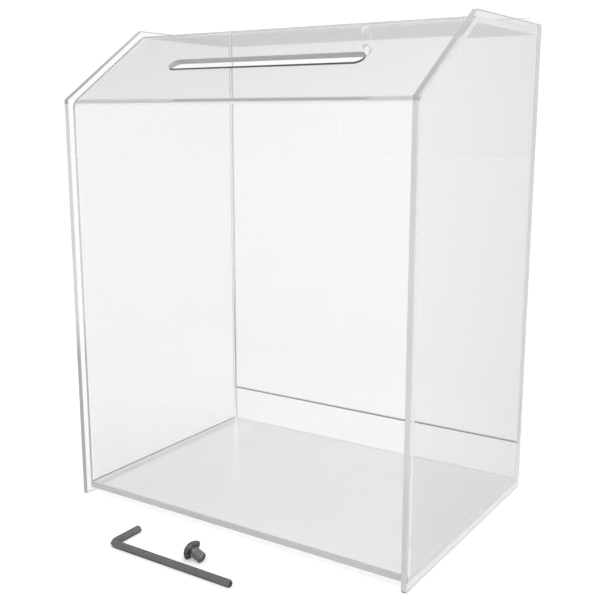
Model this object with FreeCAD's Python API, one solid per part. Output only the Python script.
import FreeCAD, Part
import math
import os

# Clear acrylic donation box that stands on a table, with its lock screw and hex key laid in front.
# Millimetres. X runs to the right, Y to the rear and Z up.
# The origin is on the table, under the middle of the two side panels.

# Sheet, and the five-sided outline of the side panels
sheet = 2.5
inside_width = 180.0
side_depth = 130.5
side_height = 233.0
front_height = 198.0
top_depth = 78.3
edge_arris = 0.25

# How far the side panels stand past the sheets between them
front_reveal = 3.0
slope_reveal = 2.7
top_reveal = 2.5
base_lift = 2.7
rear_lip = 1.2
cement_film = 0.05

# Sheet that is line-bent into front, slope and top, and the slot in its slope, a little right of the middle
bend_radius = 2.5
slot_length = 105.0
slot_width = 8.0
slot_from_bend = 31.75
slot_right = 0.8

# Rear strip, and the door that slides down onto it in a routed groove in each side panel
strip_height = 19.8
groove_depth = 0.9
door_clearance = 0.2
door_rest_gap = 0.3
door_stand = 3.2
door_corner = 3.0

# Button-head lock screw, its tapped hole, and how far the screw stays under the top sheet
screw_thread = 5.0
thread_pitch = 0.8
screw_length = 6.0
tip_chamfer = 0.5
head_diameter = 9.5
head_height = 2.75
head_rim = 0.35
head_flat = 5.2
socket_depth = 1.6
socket_clearance = 0.08
lock_play = 2.0
hole_mouth = 5.8
mouth_depth = 0.4

# Hex key for that socket
key_across_flats = 3.0
key_long_arm = 68.5
key_short_arm = 19.0
key_bend_radius = 2.2
key_end_chamfer = 0.25

# Where the screw's neck and the key's corner lie, from the middle of the box's front edge
screw_right = 1.4
screw_ahead = 25.3
key_left = 37.3
key_ahead = 35.2

# How far cutters run past the faces that they cut, and how near two places count as one
cut_overrun = 1.0
same_place = 0.01
hexagon_sides = 6
full_turn = 2 * math.pi

# Planes and angles that several pieces share
slope_rise = side_height - front_height
slope_run = side_depth - top_depth
slope_angle = math.atan2(slope_rise, slope_run)
front_edge = -side_depth / 2
rear_edge = side_depth / 2
inner_wall = inside_width / 2
filling_width = inside_width - 2 * cement_film
groove_width = sheet + 2 * door_clearance
groove_rear = rear_edge - rear_lip
groove_front = groove_rear - groove_width
door_front = groove_front + door_clearance
door_rear = door_front + sheet
base_top = base_lift + sheet
strip_top = base_top + cement_film + strip_height
top_underside = side_height - top_reveal - sheet


def vector(x, y, z):
    return FreeCAD.Vector(x, y, z)


along_x = vector(1, 0, 0)
along_y = vector(0, 1, 0)
along_z = vector(0, 0, 1)
origin = vector(0, 0, 0)


def lengthwise_prism(outline, low_x, length):
    """Extrude an outline of (y, z) corners along X."""
    corners = [vector(low_x, y, z) for y, z in outline]
    wire = Part.makePolygon(corners + corners[:1])
    return Part.Face(wire).extrude(along_x * length)


def hexagon_wire(across_flats):
    """Regular hexagon round the origin in the YZ plane, with flats above and below."""
    radius = across_flats / 2 / math.cos(math.pi / hexagon_sides)
    corners = []
    for side in range(hexagon_sides + 1):
        angle = full_turn * side / hexagon_sides
        corners.append(vector(0, radius * math.cos(angle), radius * math.sin(angle)))
    return Part.makePolygon(corners)


def edges_along_x(solid, places):
    """The solid's edges that run along X through the given (y, z) places."""
    found = []
    for edge in solid.Edges:
        box = edge.BoundBox
        runs_along_x = box.YLength + box.ZLength < same_place
        for y, z in places:
            if runs_along_x and math.hypot(box.YMin - y, box.ZMin - z) < same_place:
                found.append(edge)
    return found


def ease_outline(plate, way_through):
    """Chamfer a plate's outline lightly on both of its faces."""
    rims = []
    for edge in plate.Edges:
        box = edge.BoundBox
        if way_through.dot(vector(box.XLength, box.YLength, box.ZLength)) < same_place:
            rims.append(edge)
    return plate.makeChamfer(edge_arris, rims)


def lower_bend(front_inset, slope_inset):
    """Corner between front and slope, each that far inside the side panels' edge."""
    drop = slope_inset / math.cos(slope_angle)
    return front_edge + front_inset, front_height + front_inset * math.tan(slope_angle) - drop


def upper_bend(slope_inset, top_inset):
    """Corner between slope and top, each that far inside the side panels' edge."""
    climb = slope_rise - top_inset + slope_inset / math.cos(slope_angle)
    return front_edge + climb / math.tan(slope_angle), side_height - top_inset


def bends_at_depth(depth):
    """Both corners of the bent sheet, that deep under its outer face."""
    lower = lower_bend(front_reveal + depth, slope_reveal + depth)
    return [lower, upper_bend(slope_reveal + depth, top_reveal + depth)]


def make_door_groove():
    """Cutter for the groove in the right side panel: round at its foot, open at the top."""
    middle = groove_front + groove_width / 2
    start_x = inner_wall - cut_overrun
    depth = groove_depth + cut_overrun
    height = side_height - strip_top + cut_overrun
    foot = Part.makeCylinder(groove_width / 2, depth, vector(start_x, middle, strip_top), along_x)
    run = Part.makeBox(depth, groove_width, height, vector(start_x, groove_front, strip_top))
    return foot.fuse(run)


def make_right_side_panel():
    outline = [(front_edge, 0), (rear_edge, 0), (rear_edge, side_height)]
    outline += [upper_bend(0, 0), lower_bend(0, 0)]
    panel = lengthwise_prism(outline, inner_wall, sheet)
    return ease_outline(panel, along_x).cut(make_door_groove())


def make_slot_cutter():
    """Round-ended bar that stands square to the slope, through the slot's centre."""
    radius = slot_width / 2
    reach = slot_length / 2 - radius
    right_end = Part.Arc(vector(reach, -radius, 0), vector(reach + radius, 0, 0), vector(reach, radius, 0))
    left_end = Part.Arc(vector(-reach, radius, 0), vector(-reach - radius, 0, 0), vector(-reach, -radius, 0))
    upper = Part.LineSegment(vector(reach, radius, 0), vector(-reach, radius, 0))
    lower = Part.LineSegment(vector(-reach, -radius, 0), vector(reach, -radius, 0))
    wire = Part.Wire([curve.toShape() for curve in (right_end, upper, left_end, lower)])
    bar = Part.Face(wire).extrude(along_z * (sheet + 2 * cut_overrun))
    bar.translate(along_z * -(sheet + cut_overrun))
    bar.rotate(origin, along_x, math.degrees(slope_angle))
    bend_y, bend_z = lower_bend(front_reveal, slope_reveal)
    centre_y = bend_y + slot_from_bend * math.cos(slope_angle)
    centre_z = bend_z + slot_from_bend * math.sin(slope_angle)
    bar.translate(vector(slot_right, centre_y, centre_z))
    return bar


def make_front_top_sheet():
    front = front_edge + front_reveal
    foot = base_top + cement_film
    outer_corners = bends_at_depth(0)
    inner_corners = bends_at_depth(sheet)
    outline = [(front, foot)] + outer_corners
    outline += [(groove_front, top_underside + sheet), (groove_front, top_underside)]
    outline += inner_corners[::-1] + [(front + sheet, foot)]
    bent = lengthwise_prism(outline, -filling_width / 2, filling_width)
    bent = bent.makeFillet(bend_radius + sheet, edges_along_x(bent, outer_corners))
    bent = bent.makeFillet(bend_radius, edges_along_x(bent, inner_corners))
    return bent.cut(make_slot_cutter())


def make_base_panel():
    front = front_edge + front_reveal
    return Part.makeBox(filling_width, door_rear - front, sheet, vector(-filling_width / 2, front, base_lift))


def make_rear_strip():
    foot = strip_top - strip_height
    return Part.makeBox(filling_width, sheet, strip_height, vector(-filling_width / 2, door_front, foot))


def make_lock_hole():
    """Cutter for the tapped hole at its drill size, with both mouths opened past the thread's size."""
    drill = (screw_thread - thread_pitch) / 2
    mouth = hole_mouth / 2
    centre_z = top_underside - lock_play - screw_thread / 2
    drilled = Part.makeCylinder(drill, sheet, vector(0, door_front, centre_z), along_y)
    front_mouth = Part.makeCone(mouth, drill, mouth_depth, vector(0, door_front, centre_z), along_y)
    rear_start = vector(0, door_rear - mouth_depth, centre_z)
    rear_mouth = Part.makeCone(drill, mouth, mouth_depth, rear_start, along_y)
    return drilled.fuse([front_mouth, rear_mouth])


def make_rear_door():
    half_width = inner_wall + groove_depth - door_clearance
    foot = strip_top + door_rest_gap
    head = side_height + door_stand
    door = Part.makeBox(2 * half_width, sheet, head - foot, vector(-half_width, door_front, foot))
    corners = []
    for edge in door.Edges:
        box = edge.BoundBox
        if box.ZMin > head - same_place and box.YLength > box.XLength:
            corners.append(edge)
    door = door.makeFillet(door_corner, corners)
    return ease_outline(door, along_y).cut(make_lock_hole())


def make_head_dome():
    """Arc from the flat on top of the screw's head to its rim, centred on the screw's axis."""
    rim = head_diameter / 2
    flat = head_flat / 2
    offset = (flat ** 2 + head_height ** 2 - rim ** 2 - head_rim ** 2) / (2 * (head_height - head_rim))
    radius = math.hypot(rim, head_rim - offset)
    rim_angle = math.atan2(head_rim - offset, rim)
    flat_angle = math.atan2(head_height - offset, flat)
    crown_angle = (rim_angle + flat_angle) / 2
    crown = vector(-offset - radius * math.sin(crown_angle), 0, radius * math.cos(crown_angle))
    return Part.Arc(vector(-head_height, 0, flat), crown, vector(-head_rim, 0, rim))


def make_lock_screw():
    """Screw laid on the table: it rests on its head's rim and on the edge of its tip."""
    rim = head_diameter / 2
    thread = screw_thread / 2
    top_of_head = vector(-head_height, 0, 0)
    flat = Part.makePolygon([top_of_head, vector(-head_height, 0, head_flat / 2)])
    shank = [vector(-head_rim, 0, rim), vector(0, 0, rim), vector(0, 0, thread)]
    shank += [vector(screw_length - tip_chamfer, 0, thread), vector(screw_length, 0, thread - tip_chamfer)]
    shank += [vector(screw_length, 0, 0), top_of_head]
    profile = Part.Wire(flat.Edges + [make_head_dome().toShape()] + Part.makePolygon(shank).Edges)
    screw = Part.Face(profile).revolve(origin, along_x, math.degrees(full_turn))
    socket = Part.Face(hexagon_wire(key_across_flats + socket_clearance)).extrude(along_x * socket_depth)
    socket.translate(top_of_head)
    screw = screw.cut(socket)
    tilt = math.atan2(rim - thread, screw_length - tip_chamfer)
    screw.rotate(origin, along_y, math.degrees(tilt))
    screw.translate(vector(screw_right, front_edge - screw_ahead, rim * math.cos(tilt)))
    return screw


def make_hex_key():
    """Key laid flat on the table: long arm to the right, short arm to the rear."""
    half_bar = key_across_flats / 2
    radius = key_bend_radius
    long_end = key_long_arm - half_bar
    short_end = key_short_arm - half_bar
    inward = radius * (1 - math.sqrt(1 / 2))
    long_arm = Part.LineSegment(vector(long_end, 0, 0), vector(radius, 0, 0))
    bend = Part.Arc(vector(radius, 0, 0), vector(inward, inward, 0), vector(0, radius, 0))
    short_arm = Part.LineSegment(vector(0, radius, 0), vector(0, short_end, 0))
    path = Part.Wire([long_arm.toShape(), bend.toShape(), short_arm.toShape()])
    section = hexagon_wire(key_across_flats)
    section.translate(along_x * long_end)
    key = path.makePipeShell([section], True, False)
    end_edges = []
    for edge in key.Edges:
        box = edge.BoundBox
        if box.XMin > long_end - same_place or box.YMin > short_end - same_place:
            end_edges.append(edge)
    key = key.makeChamfer(key_end_chamfer, end_edges)
    key.translate(vector(-key_left, front_edge - key_ahead, half_bar))
    return key


right_side_panel = make_right_side_panel()
pieces = {
    "right_side_panel": right_side_panel,
    "left_side_panel": right_side_panel.mirror(origin, along_x),
    "front_top_sheet": make_front_top_sheet(),
    "base_panel": make_base_panel(),
    "rear_strip": make_rear_strip(),
    "rear_door": make_rear_door(),
    "lock_screw": make_lock_screw(),
    "hex_key": make_hex_key(),
}

os.makedirs("parts", exist_ok=True)
for name, shape in pieces.items():
    shape.exportStep(os.path.join("parts", name + ".step"))
    print(name, "solids", len(shape.Solids), "valid", shape.isValid(), "volume", round(shape.Volume, 1))
